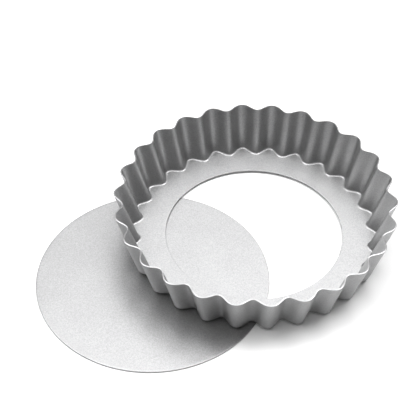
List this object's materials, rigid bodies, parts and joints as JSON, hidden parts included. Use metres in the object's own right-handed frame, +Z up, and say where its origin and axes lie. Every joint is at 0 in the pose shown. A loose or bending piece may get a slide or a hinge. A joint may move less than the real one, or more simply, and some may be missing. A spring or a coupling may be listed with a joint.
{
  "type": "tart pan",
  "caption": "Round fluted tart pan with a loose flat base, taken apart: the flared ring with its inward ledge lies across the edge of the base.",
  "frame": {"origin": "centre of the loose base's underside, on the table", "axes": "+Z up, along the axes of the base and the ring; +X from the base's centre to the ring's centre"},
  "size_m": [0.1587, 0.1198, 0.0226],
  "materials": {
    "ring_coating": "satin grey non-stick coating with a fine grain, on pressed sheet steel",
    "base_coating": "satin grey non-stick coating with a fine grain, on flat sheet steel"
  },
  "bodies": {
    "ring": {"fluted_ring": "ring_coating"},
    "base": {"loose_base": "base_coating"}
  },
  "joints": [
    {"name": "base_slide", "type": "slide", "parent": "ring", "child": "base", "axis": [1, 0, 0], "range_m": [-0.064, 0.0502]}
  ]
}
